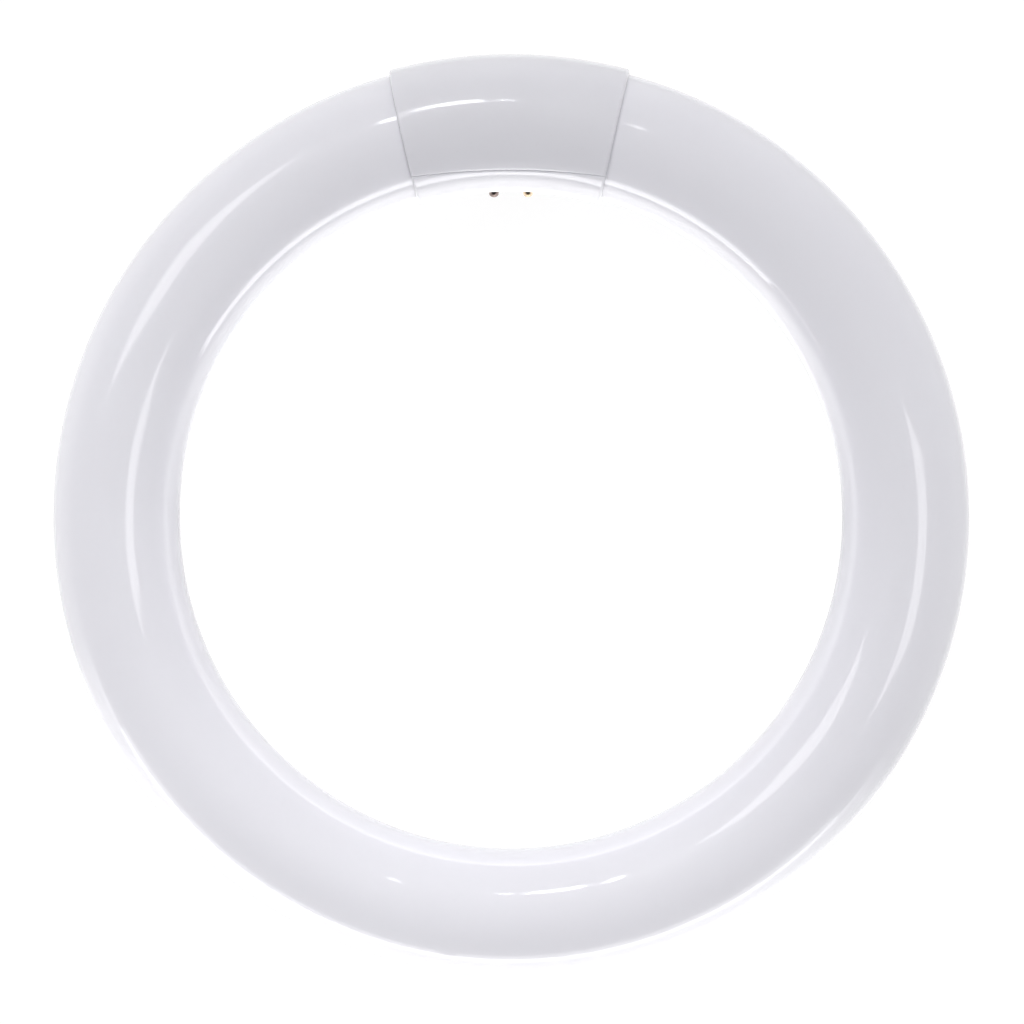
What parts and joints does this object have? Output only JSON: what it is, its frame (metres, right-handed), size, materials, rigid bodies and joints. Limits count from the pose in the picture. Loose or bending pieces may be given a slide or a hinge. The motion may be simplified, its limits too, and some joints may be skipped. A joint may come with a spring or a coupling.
{
  "type": "circular fluorescent tube",
  "caption": "White glass tube bent into a ring, its sealed ends held in a split moulded cap with slanted contact pins on its inner back side",
  "frame": {"origin": "centre of the ring in the middle plane of its tube", "axes": "+Z towards the side seen in a room, square to the ring; +Y towards the middle of the cap"},
  "size_m": [0.21, 0.2111, 0.0329],
  "materials": {
    "glass": "gloss, white coat inside that can't be seen through",
    "cap": "smooth white moulding",
    "pin_metal": "plain turned brass",
    "lead_metal": "drawn wire",
    "sleeve": "woven glass fibre sleeve"
  },
  "bodies": {
    "root": {"glass_tube": "glass", "cap_front_shell": "cap", "cap_back_shell": "cap", "contact_pin_left_inner": "pin_metal", "lead_wire_left_inner": "lead_metal", "lead_sleeve_left_inner": "sleeve", "contact_pin_right_inner": "pin_metal", "lead_wire_right_inner": "lead_metal", "lead_sleeve_right_inner": "sleeve", "contact_pin_left_outer": "pin_metal", "lead_wire_left_outer": "lead_metal", "lead_sleeve_left_outer": "sleeve", "contact_pin_right_outer": "pin_metal", "lead_wire_right_outer": "lead_metal", "lead_sleeve_right_outer": "sleeve"}
  },
  "joints": []
}
